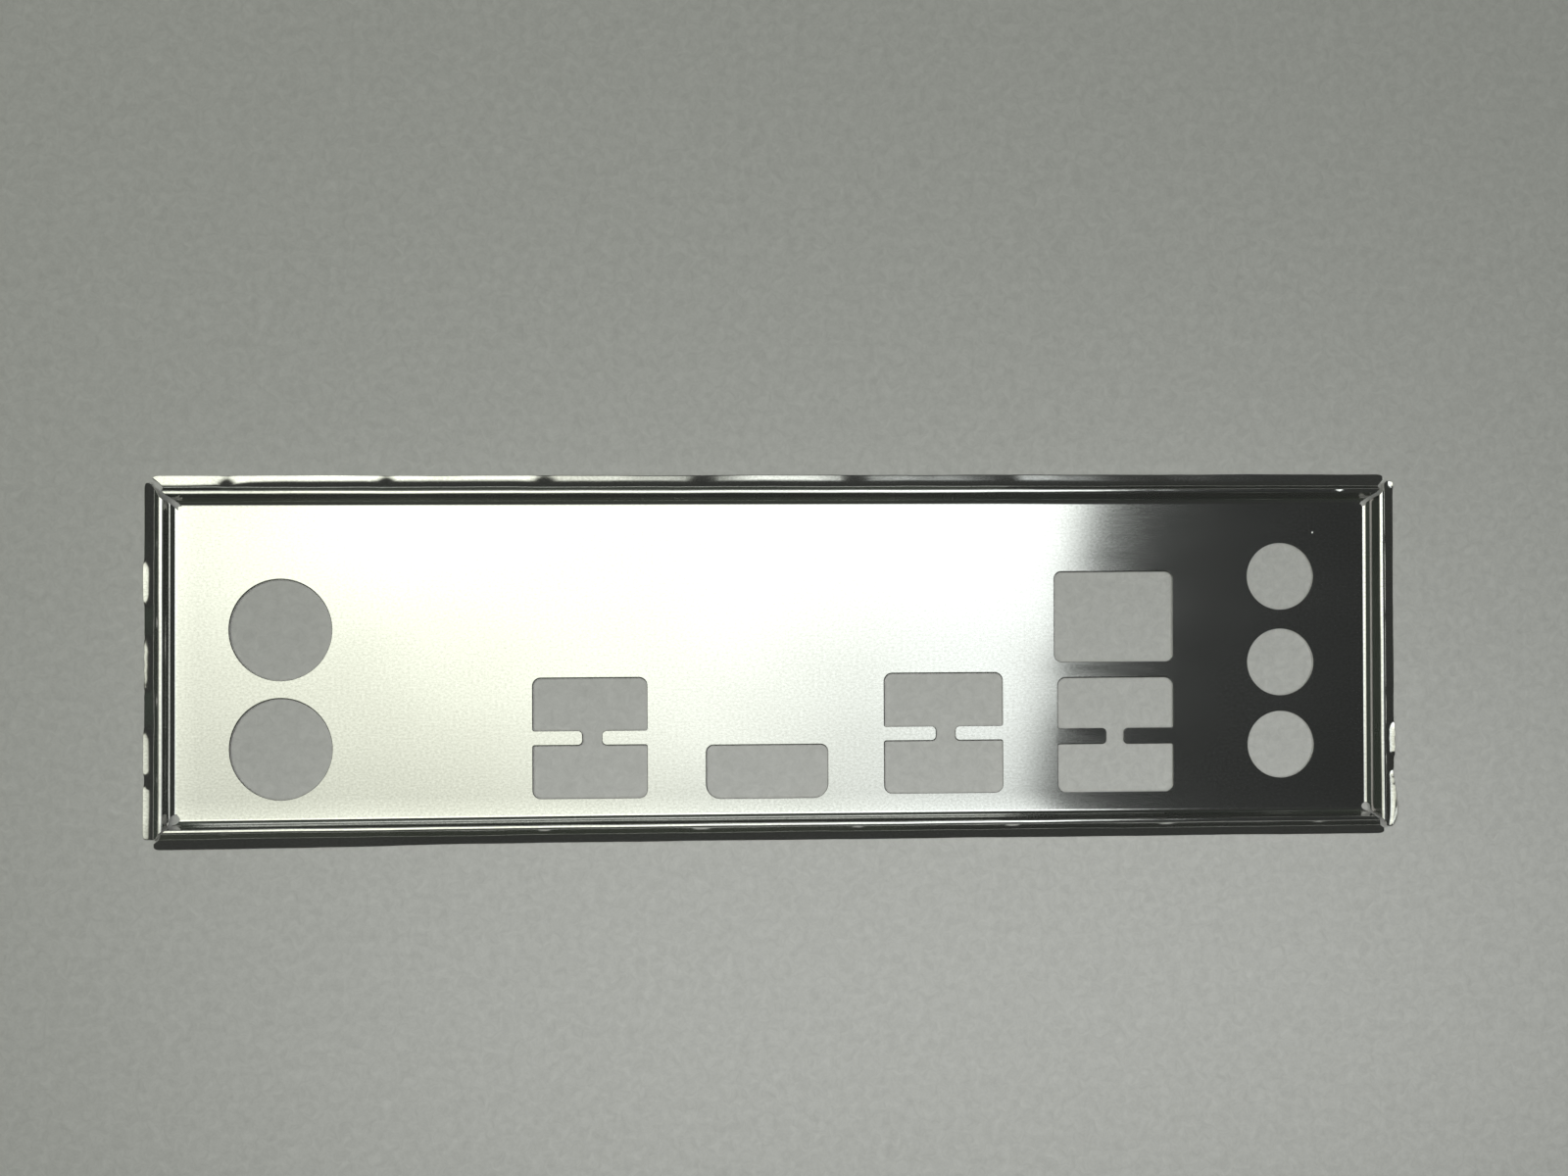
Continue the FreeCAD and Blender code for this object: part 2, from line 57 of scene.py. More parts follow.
def wob(a, seed):
    """Smooth irregular wave, about -1 to 1, along a length in mm."""
    a = np.asarray(a, dtype=float)
    return (0.42 * np.sin(a / 31.0 * 6.283 + seed * 1.7)
            + 0.30 * np.sin(a / 17.3 * 6.283 + seed * 2.9 + 0.6)
            + 0.18 * np.sin(a / 9.1 * 6.283 + seed * 4.3 + 1.9)
            + 0.10 * np.sin(a / 4.7 * 6.283 + seed * 6.1 + 2.7))


def hump(a, lo, hi, soft):
    """1 between lo and hi, 0 outside, with soft ends."""
    a = np.asarray(a, dtype=float)
    return 0.25 * (1 + np.tanh((a - lo) / soft)) * (1 + np.tanh((hi - a) / soft))


DING = (70.2, 16.0)


def panel_wave(x, y):
    """How far the panel is out of flat."""
    x = np.asarray(x, dtype=float)
    y = np.asarray(y, dtype=float)
    z = 0.014 * np.sin(x / 47.0 * 6.283 + 0.8) * np.cos(y / 61.0 * 6.283 + 0.3)
    z += 0.006 * np.sin(x / 23.0 * 6.283 + y / 37.0 * 6.283 + 2.1)
    z += 0.004 * np.sin(y / 19.0 * 6.283 - x / 71.0 * 6.283 + 0.5)
    # the strip between the two right windows and the tongue below it sag a little
    z -= 0.07 * np.exp(-((x - 45.0) / 6.5) ** 2 - ((y + 1.8) / 2.2) ** 2)
    z -= 0.10 * np.clip((x - 36.4) / 6.4, 0, 1) ** 1.4 * (x < 43.6) * np.exp(-((y + 10.5) / 1.6) ** 4)
    # the flat starts to rise just before the lower and left folds
    z += 0.012 * np.clip(-18.2 - y, 0, 2.2) ** 2 + 0.010 * np.clip(-74.6 - x, 0, 2.2) ** 2
    r2 = (x - DING[0]) ** 2 + (y - DING[1]) ** 2
    z -= 0.03 * np.exp(-r2 / (2 * 0.12 ** 2))
    return z


# ---------------------------------------------------------------- mesh store
verts, faces, face_mat, uvs = [], [], [], []
SHEET, CUT = 0, 1


def add_verts(pts, uv):
    first = sum(len(v) for v in verts)
    verts.append(np.asarray(pts, dtype=float).reshape(-1, 3))
    uvs.append(np.asarray(uv, dtype=float).reshape(-1, 2))
    return first + np.arange(len(verts[-1]))


def add_face(idx, mat=SHEET):
    faces.append([int(i) for i in idx])
    face_mat.append(mat)


# ---------------------------------------------------------------- rim
SIDES = {
    # e: fold line; r1, t1, r2: fold radius to the angle t1 and above it; off, hgt: crest from the
    # fold line; crest: radius over its top, angles at which that ends inside and out, outer shoulder
    # radius; leg: its angle; r3: radius into the lip; lip: its angle; edge: lip edge from the fold
    # line; end: half length of the lip; dent: height of the dimples; ding: place of a small bump
    "top": dict(ding=73.2, e=19.70, r1=0.90, t1=40, r2=0.90, off=1.660, hgt=2.15, crest=(0.95, 11, 10, 0.12),
                leg=75.5, r3=0.11, r4=3.70, lip=6.0, edge=3.96,
                end=79.75, ends=("tl", "tr"), turn=0, long=True, seed=1.0, dent=0.05),
    "bottom": dict(e=20.00, r1=0.77, t1=40, r2=0.77, off=1.370, hgt=2.15, crest=(0.80, 15, 8, 0.16),
                   leg=65.0, r3=0.25, lip=7.0, edge=3.68,
                   end=79.75, ends=("br", "bl"), turn=180, long=True, seed=2.3, dent=0.04),
    "left": dict(e=76.50, r1=1.00, t1=30, r2=1.30, off=1.620, hgt=2.05, crest=(0.80, 20, 8, 0.14),
                 leg=58.5, r3=0.20, lip=13.0, edge=4.44,
                 end=22.75, ends=("bl", "tl"), turn=90, long=False, seed=3.1, dent=0.05),
    "right": dict(e=76.91, r1=0.85, t1=40, r2=2.00, off=1.930, hgt=2.30, crest=(0.80, 30, 6, 0.07),
                  leg=66.0, r3=0.20, lip=8.0, edge=4.30,
                  end=22.75, ends=("tr", "br"), turn=-90, long=False, seed=4.4, dent=0.06),
}
DIMPLES = {True: [-70.35, -50.25, -30.15, -10.05, 10.05, 30.15, 50.25, 70.35],
           False: [-15.0, -5.0, 5.0, 15.0]}
N_LIP = 6


def fold_shift(name, a):
    """Fold lines that are not quite square to the box."""
    if name == "left":
        return -0.0053 * (a - 17.7)
    if name == "bottom":
        return 0.0034 * np.clip(a - 20.0, 0, None)
    return 0.0 * a


def end_reach(s, end, u):
    """How far along its side the rim reaches at outward distance u."""
    slit, rr, ra, ro = CORNER[end]
    half = FOLD[end][0]
    if not s["long"]:
        ra, ro = ro, ra
        half = FOLD[end][1]
    under = rr * rr - (u - ro) ** 2
    round_cut = np.where(under > 0, half + ra - np.sqrt(np.maximum(under, 0)), 1e9)
    # the upper left slit opens a little towards the lip
    flare = 0.10 * np.clip(u - 1.5, 0, None) if end == "tl" else 0.0
    mitre = half + u - (slit + flare) / math.sqrt(2)
    return np.minimum(np.minimum(round_cut, mitre), s["end"])


def columns(s):
    lo = -float(end_reach(s, s["ends"][0], np.array(0.0)))
    hi = float(end_reach(s, s["ends"][1], np.array(0.0)))
    near = [0, .03, .07, .12, .18, .26, .36, .5, .7, 1.0, 1.4, 2.0, 2.7]
    step = 1.4 if s["long"] else 0.55
    cols = list(np.linspace(lo, hi, int((hi - lo) / step)))
    keep = [lo + d for d in near] + [hi - d for d in near]
    for c in DIMPLES[s["long"]]:
        keep += list(c + np.linspace(-2.0, 2.0, 17))
    if "ding" in s:
        keep += list(s["ding"] + np.linspace(-1.6, 1.4, 11))
    cols = [c for c in cols if min(abs(c - k) for k in keep) > 0.12 and lo + 2.7 < c < hi - 2.7]
    return np.array(sorted(set(np.round(keep + cols, 5)))), lo, hi


def rim_profile(name, s, a):
    """Outside face of the sheet across the rim, for each place a along the side."""
    k = s["seed"]
    off = s["off"] + 0.030 * wob(a, k)
    hgt = s["hgt"] + 0.025 * wob(a, k + 5)
    if "ding" in s:
        hgt = hgt + 0.13 * np.exp(-((a - s["ding"] - 0.6) / 0.9) ** 2)
    leg = np.radians(s["leg"] + 1.2 * wob(a, k + 7))
    lip = s["lip"] + 2.0 * wob(a, k + 9)
    edge = s["edge"] + 0.04 * wob(a, k + 11)
    low = 0.02 + 0.03 * (1 + wob(a, k + 13))
    curl = 0.0 * a
    if name == "right":
        off = off + 0.0025 * a
    if name == "left":
        # the edge of the lip is turned flat in three stretches, and rough in one
        flat = (hump(a, 7.4, 12.6, 0.3) + hump(a, -14.4, -9.0, 0.3) + hump(a, -23.5, -16.0, 0.3))
        curl = 17.0 * flat + (12.5 + 3.5 * np.sin(a * 5.1)) * hump(a, -3.6, 2.8, 0.4)
        edge += 0.05 * np.sin(a * 3.7) * hump(a, -4.5, 3.5, 0.5) - 0.12 * (1 - flat)
    if name == "right":
        # the edge of the lip is sprung up near the lower end and at the upper corner
        one, two = hump(a, 9.2, 13.4, 0.3), hump(a, 15.4, 22.8, 0.3)
        curl = (40.0 * one + (40.0 + 22.0 * np.clip((a - 17.0) / 2.5, 0, 1)) * two
                + 38.0 * hump(a, -20.4, -18.9, 0.15))
        edge += one * (0.10 + 0.06 * np.sin(a * 4.3)) - 0.05
        edge += two * (-0.28 + 0.60 * np.clip((a - 15.4) / 2.8, 0, 1)
                       - 0.65 * np.clip((a - 18.5) / 1.2, 0, 1) ** 2 + 0.04 * np.sin(a * 9.3))
    if name == "top":
        lip += 1.7 * hump(a, -30, 24, 9) + 1.6 * hump(a, 26, 90, 9) + 1.2 * hump(a, 25, 38, 4) - 4.0 * hump(a, -90, -48, 8) + 1.5 * np.clip((a + 10) / 60, 0, 1)
        for c, d in zip(DIMPLES[True], (9.0, 9.0, 7.0, 3.6, 2.2, 2.0, 2.0, 2.0)):
            dip = d * np.exp(-np.abs((a - c) / 1.2) ** 1.6)
            lip, curl = lip + 1.5 * dip, curl + 1.1 * dip
    if name == "bottom":
        edge += 0.21 * np.clip((a - 43.0) / 19.0, 0, 1)
        off = off - 0.0010 * np.clip(a - 20.0, 0, None)
    lip, curl = np.radians(lip), np.radians(curl)
    r1, r2, t1, r3, rs = s["r1"], s["r2"], math.radians(s["t1"]), s["r3"], CREST_SIDE
    rt, ct, co, ro = s["crest"]
    ct, co = math.radians(ct), math.radians(co)

    def wall_gap(w):
        """What is left between the fold and the crest for a straight wall at the angle w."""
        gu = off - r1 * math.sin(t1) - r2 * (np.sin(w) - math.sin(t1)) - rs * (np.sin(w) - math.sin(ct)) - rt * math.sin(ct)
        gz = (hgt - r1 * (1 - math.cos(t1)) - r2 * (math.cos(t1) - np.cos(w))
              - rs * (math.cos(ct) - np.cos(w)) - rt * (1 - math.cos(ct)))
        return gu, gz

    w0, w1 = np.full_like(a, t1), np.full_like(a, math.radians(100))
    for _ in range(40):
        wa = 0.5 * (w0 + w1)
        gu, gz = wall_gap(wa)
        less = gu * np.sin(wa) < gz * np.cos(wa)
        w0, w1 = np.where(less, wa, w0), np.where(less, w1, wa)
    gu, gz = wall_gap(wa)
    wl = np.maximum(gu * np.cos(wa) + gz * np.sin(wa), 0.01)
    U, Z, A = [], [], []

    def put(u, z, ang):
        U.append(u); Z.append(z); A.append(ang)

    for f in np.linspace(0, 1, 6):
        t = t1 * f + 0 * a
        put(r1 * np.sin(t), r1 - r1 * np.cos(t), t)
    u0, z0 = U[-1], Z[-1]
    for f in np.linspace(0, 1, 7)[1:]:
        t = t1 + (wa - t1) * f
        put(u0 + r2 * (np.sin(t) - math.sin(t1)), z0 + r2 * (math.cos(t1) - np.cos(t)), t)
    u0, z0 = U[-1], Z[-1]
    for f in (1 / 3, 2 / 3, 1):
        put(u0 + f * wl * np.cos(wa), z0 + f * wl * np.sin(wa), wa)
    side_u, side_z = off - (rt - rs) * math.sin(ct), hgt - rs - (rt - rs) * (1 - math.cos(ct))
    for f in np.linspace(0, 1, 7)[1:]:
        t = wa + (ct - wa) * f
        put(side_u - rs * np.sin(t), side_z + rs * np.cos(t), t)
    for f in np.linspace(0, 1, 6)[1:]:
        t = ct - (ct + co) * f + 0 * wa
        put(off - rt * np.sin(t), hgt - rt + rt * np.cos(t), t)
    side_u, side_z = off + (rt - ro) * math.sin(co), hgt - ro - (rt - ro) * (1 - math.cos(co))
    for f in np.linspace(0, 1, 7)[1:]:
        t = -co + (co - leg) * f
        put(side_u - ro * np.sin(t), side_z + ro * np.cos(t), t)
    p3u, p3z = U[-1], Z[-1]
    i_leg = len(U) - 1
    # bend into the lip and the lip itself, from the foot of the leg
    soft = 0.05
    bu, bz, ba = [], [], []
    r4 = s.get("r4", r3)
    mid = np.radians(20.0 - 9.0 * hump(a, -90, -69, 3)) + np.maximum(lip - np.radians(12.0), 0) if r4 != r3 else 0.5 * (leg + lip)
    for f in (0.25, 0.5, 0.75, 1.0):
        t = -leg + (leg - mid) * f
        bu.append(r3 * (np.sin(leg) + np.sin(t)))
        bz.append(r3 * (np.cos(leg) - np.cos(t)))
        ba.append(t)
    for f in (0.25, 0.5, 0.75, 1.0):
        t = -mid + (mid - lip) * f
        bu.append(bu[3] + r4 * (np.sin(mid) + np.sin(t)))
        bz.append(bz[3] + r4 * (np.cos(mid) - np.cos(t)))
        ba.append(t)
    # leg length from the height, lip length from the place of its edge
    gl = 0.9 + 0 * a
    for _ in range(6):
        ll = np.maximum(edge - p3u - gl * np.cos(leg) - bu[7], 0.12)
        lu, lz, la = [], [], []
        u, z = bu[7], bz[7]
        for n in range(N_LIP):
            t = -lip + curl * (n + 0.5) / N_LIP
            u = u + (ll - soft) / N_LIP * np.cos(t)
            z = z + (ll - soft) / N_LIP * np.sin(t)
            lu.append(u); lz.append(z); la.append(-lip + curl * (n + 1) / N_LIP)
        deep = np.min(np.stack([q - GAUGE * np.cos(w) for q, w in zip(bz + lz, ba + la)]), axis=0)
        gl = np.maximum((p3z + TOP + deep - low) / np.sin(leg), 0.05)
    for f in np.linspace(0, 1, 10)[1:]:
        put(p3u + f * gl * np.cos(leg), p3z - f * gl * np.sin(leg), -leg)
    fu, fz = U[-1], Z[-1]
    for q, w, t in zip(bu + lu, bz + lz, ba + la):
        put(fu + q, fz + w, t)
    U, Z, A = (np.stack(q, axis=1) for q in (U, Z, A))
    S = np.concatenate([np.zeros((len(a), 1)),
                        np.cumsum(np.hypot(np.diff(U, axis=1), np.diff(Z, axis=1)), axis=1)], axis=1)
    return U, Z, A, S, i_leg, lip - curl, soft


def build_side(name):
    s = SIDES[name]
    a0, lo, hi = columns(s)
    U, Z, A, S, i_leg, lip, soft = rim_profile(name, s, a0)
    U = U + fold_shift(name, a0)[:, None]
    nc, nt = U.shape
    # columns fan out to the mitre over the last few millimetres
    span = 3.0

    def along(u):
        reach_lo = -end_reach(s, s["ends"][0], u)
        reach_hi = end_reach(s, s["ends"][1], u)
        a = np.repeat(a0[:, None], u.shape[1], axis=1)
        wl = np.clip((lo + span - a) / span, 0, 1)
        wh = np.clip((a - hi + span) / span, 0, 1)
        return a + wl * (reach_lo - lo) + wh * (reach_hi - hi)

    X = along(U)
    # rounded corners of the lip
    rc = 0.35
    dist = np.minimum(hi - a0, a0 - lo)
    scale_d = np.clip(dist, 0, rc)
    cut = rc - np.sqrt(np.maximum(rc * rc - (rc - scale_d) ** 2, 0))
    cut = np.minimum(cut, 0.8 * (S[:, -1] - S[:, -1 - N_LIP]))
    lens = S[:, -1] - S[:, -1 - N_LIP]
    f = np.clip((S - S[:, [-1 - N_LIP]]) / lens[:, None], 0, 1)
    U = U - f * cut[:, None] * np.cos(A)
    Z = Z - f * cut[:, None] * np.sin(A)
    # pressed dimples on the leg
    arm = S - S[:, [i_leg]] - 1.0
    bump = np.zeros_like(S)
    for c in DIMPLES[s["long"]]:
        r = np.sqrt(((X - c) / 1.7) ** 2 + (arm / 1.0) ** 2)
        bump = np.maximum(bump, s["dent"] * np.where(r < 1, np.cos(np.minimum(r, 1) * math.pi / 2) ** 2, 0))
    nu, nz = -np.sin(A), np.cos(A)
    U2, Z2 = U + bump * nu, Z + bump * nz
    # sheet normal after the dimples, for an even thickness
    TU, TZ = np.gradient(U2, axis=1), np.gradient(Z2, axis=1)
    TL = np.hypot(TU, TZ)
    mu, mz = -TZ / TL, TU / TL
    mu, mz = np.where(bump > 1e-6, mu, nu), np.where(bump > 1e-6, mz, nz)
    UB, ZB = U2 - GAUGE * mu, Z2 - GAUGE * mz
    # rounded outer edge of the lip
    eu, ez, es = [], [], []
    cl, sl = np.cos(lip), np.sin(lip)
    for q in (30, 60, 90):
        f1, f2 = soft * math.sin(math.radians(q)), soft * (1 - math.cos(math.radians(q)))
        eu.append(U2[:, -1] + f1 * cl - f2 * sl)
        ez.append(Z2[:, -1] - f1 * sl - f2 * cl)
        es.append(S[:, -1] + f1 + f2)
    eu.append(U2[:, -1] + soft * cl - (GAUGE - 0.04) * sl)
    ez.append(Z2[:, -1] - soft * sl - (GAUGE - 0.04) * cl)
    es.append(S[:, -1] + soft + GAUGE - 0.04)
    EU, EZ, ES = (np.stack(q, axis=1) for q in (eu, ez, es))
    chain_u = np.concatenate([U2, EU, UB[:, ::-1]], axis=1)
    chain_z = np.concatenate([Z2, EZ, ZB[:, ::-1]], axis=1)
    chain_s = np.concatenate([S, ES, S[:, ::-1]], axis=1)
    chain_x = np.concatenate([X, np.repeat(X[:, -1:], EU.shape[1], axis=1), X[:, ::-1]], axis=1)
    o = s["e"] + chain_u
    t = math.radians(s["turn"])
    cx, cy = round(math.cos(t)), round(math.sin(t))
    wx, wy = chain_x * cx - o * cy + PX, chain_x * cy + o * cx
    ox, oy = chain_x * cx - s["e"] * cy + PX, chain_x * cy + s["e"] * cx
    wz = TOP + chain_z + panel_wave(ox, oy)
    flat_o = s["e"] + chain_s
    fx, fy = chain_x * cx - flat_o * cy, chain_x * cy + flat_o * cx
    under = np.zeros_like(fx)
    under[:, nt + EU.shape[1]:] = 1
    m = chain_u.shape[1]
    ids = add_verts(np.stack([wx, wy, wz], axis=2),
                    np.stack([fx / 200 + 0.5, fy / 200 + 0.25 + 0.5 * under], axis=2)).reshape(nc, m)
    ne = EU.shape[1]
    for i in range(nc - 1):
        for j in range(m - 1):
            add_face((ids[i, j], ids[i + 1, j], ids[i + 1, j + 1], ids[i, j + 1]),
                     CUT if nt - 1 <= j < nt + ne else SHEET)
    # cut ends
    for i, flip in ((0, False), (nc - 1, True)):
        for j in range(nt - 1):
            q = [ids[i, j], ids[i, j + 1], ids[i, m - 2 - j], ids[i, m - 1 - j]]
            add_face(q[::-1] if flip else q, CUT)
        q = [ids[i, nt - 1]] + [ids[i, nt + n] for n in range(ne)] + [ids[i, nt + ne]]
        add_face(q[::-1] if flip else q, CUT)
    return ids


rim = {name: build_side(name) for name in SIDES}


# ---------------------------------------------------------------- panel
def rounded(points, radii, grow, steps=9):
    """Closed outline, anticlockwise, with rounded corners, grown outward by grow."""
    n = len(points)
    P = [Vector(p) for p in points]
    lines = []
    for i in range(n):
        d = (P[(i + 1) % n] - P[i]).normalized()
        out = Vector((d.y, -d.x))
        lines.append((P[i] + out * grow, d))
    res = []
    for i in range(n):
        (p0, d0), (p1, d1) = lines[i - 1], lines[i]
        cross = d0.x * d1.y - d0.y * d1.x
        t = ((p1.x - p0.x) * d1.y - (p1.y - p0.y) * d1.x) / cross
        c = p0 + d0 * t
        r = max(0.01, radii[i] + (grow if cross > 0 else -grow))
        a = c - d0 * r
        cen = a + d1 * r
        for k in range(steps + 1):
            f = k / steps * math.pi / 2
            res.append(cen - d1 * (r * math.cos(f)) + d0 * (r * math.sin(f)))
    return np.array([(v.x, v.y) for v in res])


def circle(cx, cy, r, grow, n=112):
    t = np.arange(n) / n * 2 * math.pi
    return np.stack([cx + (r + grow) * np.cos(t), cy + (r + grow) * np.sin(t)], axis=1)


def box_points(x0, x1, y0, y1):
    return [(x0, y0), (x1, y0), (x1, y1), (x0, y1)]


def stacked(x0, x1, y0, y1, t0, t1, ty0, ty1):
    """Window with a tongue from each side; t0 and t1 are the tongue tips."""
    pts = [(x0, y0), (x1, y0), (x1, ty0), (t1, ty0), (t1, ty1), (x1, ty1),
           (x1, y1), (x0, y1), (x0, ty1), (t0, ty1), (t0, ty0), (x0, ty0)]
    rad = [1.1, 1.1, 0.30, 0.55, 0.55, 0.30, 1.1, 1.1, 0.30, 0.55, 0.55, 0.30]
    return pts, rad


HOLES = []
for cx, cy, r in ((-63.7, 3.91, 6.55), (-63.7, -11.33, 6.55),
                  (65.9, 10.25, 4.45), (65.9, -1.0, 4.45), (65.9, -11.8, 4.45)):
    HOLES.append(lambda g, cx=cx, cy=cy, r=r: circle(cx, cy, r, g))
SHAPES = [(box_points(35.95, 51.6, -0.87, 11.02), [1.0] * 4),
          (box_points(-9.5, 6.35, -18.25, -11.22), [1.9, 1.9, 1.0, 1.0]),
          stacked(-31.78, -16.99, -18.05, -2.41, -25.4, -22.8, -11.1, -9.33),
          stacked(13.62, 29.2, -17.81, -2.09, 20.39, 22.99, -10.88, -9.11),
          stacked(36.37, 51.59, -17.87, -2.81, 42.77, 45.08, -11.48, -9.53)]
for pts, rad in SHAPES:
    HOLES.append(lambda g, pts=pts, rad=rad: rounded(pts, rad, g))


def flat_uv(xy, under):
    return np.stack([xy[:, 0] / 200 + 0.5, xy[:, 1] / 200 + (0.75 if under else 0.25)], axis=1)


def lift(xy, z):
    return np.column_stack([xy[:, 0] + PX, xy[:, 1], z + panel_wave(xy[:, 0] + PX, xy[:, 1])])


hole_rings = []
for no, make in enumerate(HOLES):
    rings = []
    line = make(0.0)
    out = make(0.05) - line
    out /= np.linalg.norm(out, axis=1, keepdims=True)
    # the rolled-over edge is widest on the far and left sides, and finer round the jack holes
    jack = 2 <= no < 5
    roll = 0.05 + 0.12 * np.clip(0.5 + 0.68 * out[:, 1] - 0.34 * out[:, 0], 0, 1)
    roll = roll * (0.4 if jack else 1.0)
    foot = (-0.03 if jack else ROLL) - roll

    def ring(grow, z, under=False, slide=0.0):
        xy = line + out * np.reshape(grow, (-1, 1))
        return add_verts(lift(xy, z), flat_uv(xy + out * slide, under))

    for g, z in ((1.0, 0.0), (0.853, 0.0235), (0.206, 0.376), (0.0, 0.676)):
        rings.append(ring(foot + g * roll, TOP - z * roll))
    rings.append(ring(foot, TOP - 0.17, False, -0.10))
    rings.append(ring(foot + 0.012, TOP - GAUGE + 0.02, True))
    rings.append(ring(foot + 0.035, TOP - GAUGE, True))
    for n in range(len(rings) - 1):
        p, q = rings[n], rings[n + 1]
        for i in range(len(p)):
            k = (i + 1) % len(p)
            add_face((p[i], p[k], q[k], q[i]), SHEET if n < 2 else CUT)
    hole_rings.append(rings)


def corner_arc(end):
    """Points on the relief hole between the two rims, going anticlockwise round the panel."""
    sx, sy = (1 if end[1] == "r" else -1), (1 if end[0] == "t" else -1)
    _, rr, rx, ry = CORNER[end]
    c = np.array([FOLD[end][0] + rx, FOLD[end][1] + ry])
    a0 = math.pi + math.atan2(ry, math.sqrt(rr * rr - ry * ry))
    a1 = math.pi + math.atan2(math.sqrt(rr * rr - rx * rx), rx)
    t = np.linspace(a0, a1, 12)
    p = np.stack([c[0] + rr * np.cos(t), c[1] + rr * np.sin(t)], axis=1)
    p *= (sx, sy)
    # long side to short side is clockwise in the first quadrant
    return p if sx * sy < 0 else p[::-1]


top_loop, low_loop = [], []
for name, end in (("bottom", "br"), ("right", "tr"), ("top", "tl"), ("left", "bl")):
    ids = rim[name][::-1]
    top_loop += list(ids[:, 0])
    low_loop += list(ids[:, -1])
    arc = corner_arc(end)
    ta = add_verts(lift(arc, TOP), flat_uv(arc, False))
    la = add_verts(lift(arc, TOP - GAUGE), flat_uv(arc, True))
    chain_t = [ids[-1, 0]] + list(ta)
    chain_l = [ids[-1, -1]] + list(la)
    nxt = {"bottom": "right", "right": "top", "top": "left", "left": "bottom"}[name]
    chain_t.append(rim[nxt][-1, 0])
    chain_l.append(rim[nxt][-1, -1])
    for i in range(len(chain_t) - 1):
        add_face((chain_t[i], chain_l[i], chain_l[i + 1], chain_t[i + 1]), CUT)
    top_loop += list(ta)
    low_loop += list(la)

all_v = np.concatenate(verts)
all_uv = np.concatenate(uvs)

# inside points of the panel
gx, gy = np.meshgrid(np.arange(-76, 76.1, 1.9), np.arange(-19.2, 19.3, 1.6))
grid = np.stack([gx.ravel() + 0.3 * np.sin(gy.ravel() * 3), gy.ravel()], axis=1)
dx, dy = np.meshgrid(np.linspace(-0.6, 0.6, 15), np.linspace(-0.6, 0.6, 15))
dots = np.stack([dx.ravel() + DING[0] - PX, dy.ravel() + DING[1]], axis=1)
grid = grid[np.hypot(grid[:, 0] - DING[0] + PX, grid[:, 1] - DING[1]) > 1.1]
grid = np.concatenate([grid, dots])


def inside(loop, pts):
    res = np.zeros(len(pts), dtype=bool)
    x, y = pts[:, 0], pts[:, 1]
    for (x0, y0), (x1, y1) in zip(loop, np.roll(loop, -1, axis=0)):
        if y0 == y1:
            continue
        hit = ((y0 > y) != (y1 > y)) & (x < (x1 - x0) * (y - y0) / (y1 - y0) + x0)
        res ^= hit
    return res


free = np.ones(len(grid), dtype=bool)
for make in HOLES:
    free &= ~inside(make(0.55), grid)
grid = grid[free]


def fill(loop, ring_no, z, up):
    rings = [r[ring_no] for r in hole_rings]
    new = add_verts(lift(grid, z), flat_uv(grid, not up))
    here = np.concatenate(verts)
    ids = list(loop)
    edges = [(i, (i + 1) % len(loop)) for i in range(len(loop))]
    for r in rings:
        n0 = len(ids)
        ids += list(r)
        edges += [(n0 + i, n0 + (i + 1) % len(r)) for i in range(len(r))]
    ids += list(new)
    pts = here[ids][:, :2]
    out = delaunay_2d_cdt([Vector(p) for p in pts], edges, [], 1, 1e-6)
    ov, of, orig = out[0], out[2], out[3]
    remap = [ids[o[0]] for o in orig]
    tri = np.array([list(f) for f in of])
    mid = np.array([[v.x, v.y] for v in ov])[tri].mean(axis=1)
    keep = np.ones(len(tri), dtype=bool)
    for r in rings:
        keep &= ~inside(here[r][:, :2], mid)
    for t in tri[keep]:
        q = [remap[i] for i in t]
        p = here[q][:, :2]
        area = (p[1, 0] - p[0, 0]) * (p[2, 1] - p[0, 1]) - (p[1, 1] - p[0, 1]) * (p[2, 0] - p[0, 0])
        if abs(area) < 1e-12:
            continue
        if (area > 0) != up:
            q = q[::-1]
        add_face(q, SHEET)
    return np.array(ids)


flat_top = fill(top_loop, 0, TOP, True)
flat_low = fill(low_loop, -1, TOP - GAUGE, False)

# ---------------------------------------------------------------- object
V = np.concatenate(verts) / 1000.0
UV = np.concatenate(uvs)
mesh = bpy.data.meshes.new("io_shield_sheet")
mesh.from_pydata(V.tolist(), [], faces)
mesh.polygons.foreach_set("material_index", face_mat)
layer = mesh.uv_layers.new(name="flat")
loop_v = np.empty(len(mesh.loops), dtype=np.int32)
mesh.loops.foreach_get("vertex_index", loop_v)
layer.data.foreach_set("uv", UV[loop_v].astype(np.float32).ravel())
mesh.polygons.foreach_set("use_smooth", np.ones(len(mesh.polygons), dtype=bool))
mesh.update()
# big faces lead the shading, so the flats stay flat up to their edges
acc = np.zeros_like(V)
for f in mesh.polygons:
    n = np.array(f.normal) * f.area
    for i in f.vertices:
        acc[i] += n
acc /= np.maximum(np.linalg.norm(acc, axis=1), 1e-30)[:, None]
for ids, sign in ((flat_top, 1), (flat_low, -1)):
    x, y, h = V[ids, 0] * 1000, V[ids, 1] * 1000, 0.02
    n = np.stack([(panel_wave(x - h, y) - panel_wave(x + h, y)) / (2 * h),
                  (panel_wave(x, y - h) - panel_wave(x, y + h)) / (2 * h), np.ones(len(x))], axis=1)
    acc[ids] = sign * n / np.linalg.norm(n, axis=1)[:, None]
mesh.normals_split_custom_set_from_vertices(acc.tolist())
shield = bpy.data.objects.new("io_shield_sheet", mesh)
bpy.context.scene.collection.objects.link(shield)


